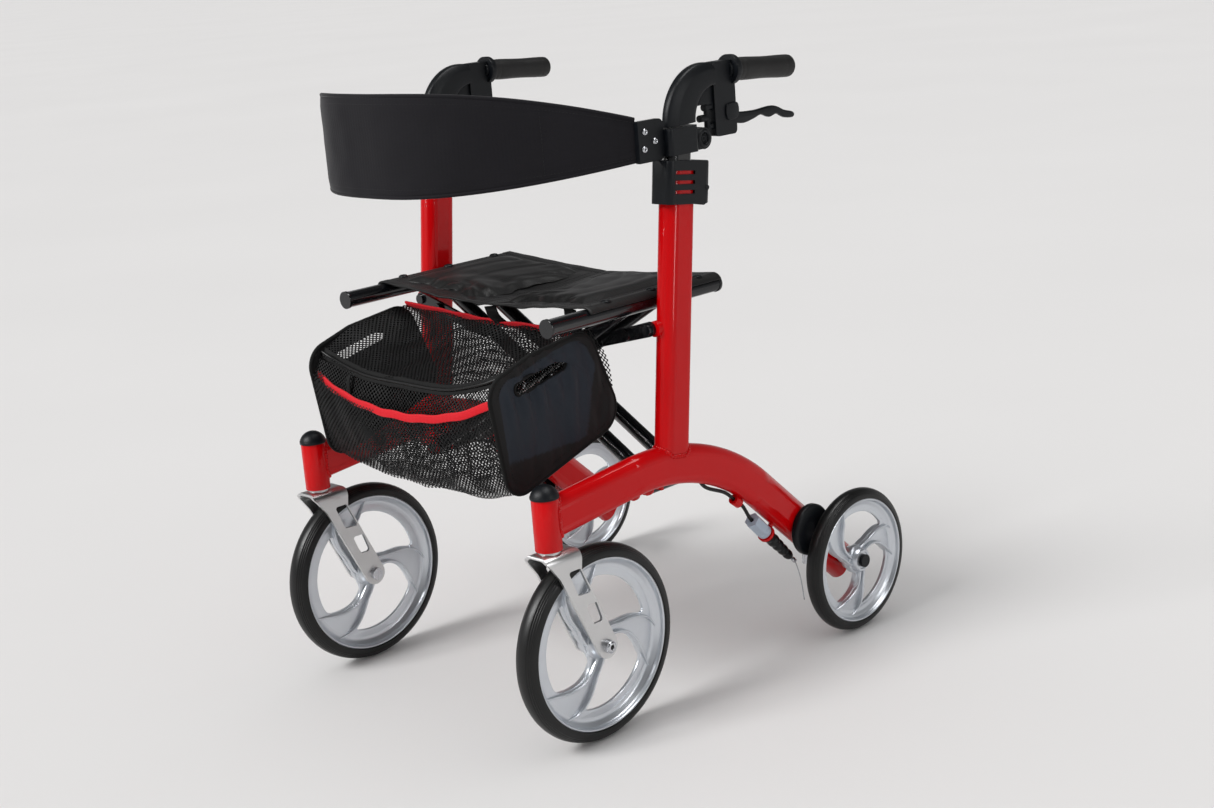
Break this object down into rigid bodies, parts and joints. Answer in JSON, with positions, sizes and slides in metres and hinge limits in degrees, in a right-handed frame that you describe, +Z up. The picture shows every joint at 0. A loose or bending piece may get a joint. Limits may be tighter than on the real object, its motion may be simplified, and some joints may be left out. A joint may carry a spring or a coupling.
{
  "type": "rollator walker",
  "caption": "Side-folding wheeled walking frame with a fabric seat, an under-seat mesh bag, a curved backrest band, hand brakes and height-adjustable grips.",
  "frame": {"origin": "on the floor under the middle of the overall box, at rest", "axes": "+Z up, -Y forwards (casters and bag), +X towards the user's left"},
  "size_m": [0.584, 0.701, 0.8184],
  "materials": {
    "frame_red": "gloss",
    "black_tube": "semi-gloss",
    "black_plastic": "satin",
    "grip_rubber": "matte",
    "tyre": "satin",
    "rim_silver": "satin",
    "fork_alloy": "brushed",
    "zinc": "satin",
    "cable_black": "satin",
    "adjuster_grey": "satin",
    "seat_fabric": "satin",
    "bag_panel_fabric": "matte",
    "bag_mesh_fabric": "matte",
    "bag_trim": "matte",
    "backrest_fabric": "matte"
  },
  "bodies": {
    "left_frame": {"left_side_frame": "frame_red", "left_caster_cap": "black_plastic", "left_brake_drum": "black_plastic", "left_rear_axle": "black_plastic", "left_height_clamp": "black_plastic", "left_brake_cable": "cable_black", "left_cable_adjuster": "adjuster_grey"},
    "right_frame": {"right_side_frame": "frame_red", "right_caster_cap": "black_plastic", "right_brake_drum": "black_plastic", "right_rear_axle": "black_plastic", "right_height_clamp": "black_plastic", "right_brake_cable": "cable_black", "right_cable_adjuster": "adjuster_grey"},
    "left_handle": {"left_height_tube": "black_tube", "left_collar": "black_plastic", "left_handle_neck": "black_plastic", "left_brake_housing": "black_plastic", "left_grip": "grip_rubber", "left_backrest_bracket": "black_plastic", "backrest_band": "backrest_fabric"},
    "right_handle": {"right_height_tube": "black_tube", "right_collar": "black_plastic", "right_handle_neck": "black_plastic", "right_brake_housing": "black_plastic", "right_grip": "grip_rubber", "right_backrest_bracket": "black_plastic"},
    "left_brake_lever": {"left_brake_lever": "black_plastic"},
    "left_brake_arm": {"left_brake_arm": "zinc"},
    "left_height_lever": {"left_height_lever": "black_plastic"},
    "left_caster": {"left_caster_fork": "fork_alloy", "left_front_axle": "zinc"},
    "left_front_wheel": {"left_front_tyre": "tyre", "left_front_rim": "rim_silver"},
    "left_rear_wheel": {"left_rear_tyre": "tyre", "left_rear_rim": "rim_silver"},
    "right_brake_lever": {"right_brake_lever": "black_plastic"},
    "right_brake_arm": {"right_brake_arm": "zinc"},
    "right_height_lever": {"right_height_lever": "black_plastic"},
    "right_caster": {"right_caster_fork": "fork_alloy", "right_front_axle": "zinc"},
    "right_front_wheel": {"right_front_tyre": "tyre", "right_front_rim": "rim_silver"},
    "right_rear_wheel": {"right_rear_tyre": "tyre", "right_rear_rim": "rim_silver"},
    "brace_a": {"brace_a": "black_tube", "right_seat_rail": "black_tube", "brace_pivot": "zinc"},
    "brace_b": {"brace_b": "black_tube", "left_seat_rail": "black_tube"},
    "left_seat": {"left_seat_pad": "seat_fabric", "seat_centre": "seat_fabric"},
    "right_seat": {"right_seat_pad": "seat_fabric"},
    "left_link": {"left_brace_link": "black_plastic"},
    "right_link": {"right_brace_link": "black_plastic"},
    "left_bag": {"left_bag_panel": "bag_panel_fabric", "bag_mesh": "bag_mesh_fabric", "bag_lid": "bag_mesh_fabric"},
    "right_bag": {"right_bag_panel": "bag_panel_fabric"}
  },
  "joints": [
    {"name": "fold", "type": "hinge", "parent": "left_frame", "child": "brace_a", "pos_m": [0.2, -0.0395, 0.285], "axis": [0, 1, 0], "range_deg": [0, 51], "deforming": ["bag_mesh", "bag_lid", "seat_centre", "backrest_band"]},
    {"name": "brace_cross", "type": "hinge", "parent": "brace_a", "child": "brace_b", "pos_m": [0, -0.0525, 0.4045], "axis": [0, 1, 0], "range_deg": [-102.5, 0]},
    {"name": "right_lower_pivot", "type": "hinge", "parent": "brace_b", "child": "right_frame", "pos_m": [-0.2, -0.0525, 0.285], "axis": [0, 1, 0], "range_deg": [0, 51.5]},
    {"name": "left_seat_fold", "type": "hinge", "parent": "brace_b", "child": "left_seat", "pos_m": [0.2, -0.0475, 0.524], "axis": [0, 1, 0], "range_deg": [0, 131.5]},
    {"name": "right_seat_fold", "type": "hinge", "parent": "brace_a", "child": "right_seat", "pos_m": [-0.2, -0.0475, 0.524], "axis": [0, 1, 0], "range_deg": [-131.5, 0]},
    {"name": "left_link_pivot", "type": "hinge", "parent": "left_frame", "child": "left_link", "pos_m": [0.224, -0.0795, 0.495], "axis": [0, 1, 0], "range_deg": [0, 87.43]},
    {"name": "right_link_pivot", "type": "hinge", "parent": "right_frame", "child": "right_link", "pos_m": [-0.224, -0.0795, 0.495], "axis": [0, 1, 0], "range_deg": [-87.43, 0]},
    {"name": "left_bag_hanger", "type": "hinge", "parent": "brace_b", "child": "left_bag", "pos_m": [0.2, -0.2, 0.524], "axis": [0, 1, 0], "range_deg": [0, 51.5]},
    {"name": "right_bag_hanger", "type": "hinge", "parent": "brace_a", "child": "right_bag", "pos_m": [-0.2, -0.2, 0.524], "axis": [0, 1, 0], "range_deg": [-51.5, 0]},
    {"name": "left_handle_height", "type": "slide", "parent": "left_frame", "child": "left_handle", "axis": [0, 0.1236, 0.9923], "range_m": [0, 0.12]},
    {"name": "right_handle_height", "type": "slide", "parent": "right_frame", "child": "right_handle", "axis": [0, 0.1236, 0.9923], "range_m": [0, 0.12]},
    {"name": "left_caster_swivel", "type": "hinge", "parent": "left_frame", "child": "left_caster", "pos_m": [0.234, -0.287, 0.29], "axis": [0, 0, 1], "continuous": true},
    {"name": "left_front_wheel_spin", "type": "hinge", "parent": "left_caster", "child": "left_front_wheel", "pos_m": [0.234, -0.2235, 0.127], "axis": [1, 0, 0], "continuous": true},
    {"name": "left_rear_wheel_spin", "type": "hinge", "parent": "left_frame", "child": "left_rear_wheel", "pos_m": [0.2735, 0.249, 0.1015], "axis": [1, 0, 0], "continuous": true},
    {"name": "left_brake_squeeze", "type": "hinge", "parent": "left_handle", "child": "left_brake_lever", "pos_m": [0.234, 0.084, 0.741], "axis": [1, 0, 0], "range_deg": [-15, 18], "stiffness_Nm_per_rad": 0.4},
    {"name": "left_brake_arm_turn", "type": "hinge", "parent": "left_frame", "child": "left_brake_arm", "pos_m": [0.25, 0.178, 0.162], "axis": [1, 0, 0], "range_deg": [-7.5, 9]},
    {"name": "left_height_lever_turn", "type": "hinge", "parent": "left_frame", "child": "left_height_lever", "pos_m": [0.234, 0.01387, 0.66075], "axis": [1, 0, 0], "range_deg": [0, 75]},
    {"name": "right_caster_swivel", "type": "hinge", "parent": "right_frame", "child": "right_caster", "pos_m": [-0.234, -0.287, 0.29], "axis": [0, 0, 1], "continuous": true},
    {"name": "right_front_wheel_spin", "type": "hinge", "parent": "right_caster", "child": "right_front_wheel", "pos_m": [-0.234, -0.2235, 0.127], "axis": [1, 0, 0], "continuous": true},
    {"name": "right_rear_wheel_spin", "type": "hinge", "parent": "right_frame", "child": "right_rear_wheel", "pos_m": [-0.2735, 0.249, 0.1015], "axis": [1, 0, 0], "continuous": true},
    {"name": "right_brake_squeeze", "type": "hinge", "parent": "right_handle", "child": "right_brake_lever", "pos_m": [-0.234, 0.084, 0.741], "axis": [1, 0, 0], "range_deg": [-15, 18], "stiffness_Nm_per_rad": 0.4},
    {"name": "right_brake_arm_turn", "type": "hinge", "parent": "right_frame", "child": "right_brake_arm", "pos_m": [-0.25, 0.178, 0.162], "axis": [1, 0, 0], "range_deg": [-7.5, 9]},
    {"name": "right_height_lever_turn", "type": "hinge", "parent": "right_frame", "child": "right_height_lever", "pos_m": [-0.234, 0.01387, 0.66075], "axis": [1, 0, 0], "range_deg": [0, 75]}
  ],
  "couplings": [
    {"joint": "brace_cross", "follows": "fold", "ratio": -2},
    {"joint": "right_lower_pivot", "follows": "fold", "ratio": 1},
    {"joint": "left_seat_fold", "follows": "fold", "ratio": 2.5686},
    {"joint": "right_seat_fold", "follows": "fold", "ratio": -2.5686},
    {"joint": "left_link_pivot", "follows": "fold", "ratio": 1.7046},
    {"joint": "right_link_pivot", "follows": "fold", "ratio": -1.7046},
    {"joint": "left_bag_hanger", "follows": "fold", "ratio": 1},
    {"joint": "right_bag_hanger", "follows": "fold", "ratio": -1},
    {"joint": "right_handle_height", "follows": "left_handle_height", "ratio": 1},
    {"joint": "left_brake_arm_turn", "follows": "left_brake_squeeze", "ratio": 0.5},
    {"joint": "right_brake_arm_turn", "follows": "right_brake_squeeze", "ratio": 0.5}
  ]
}
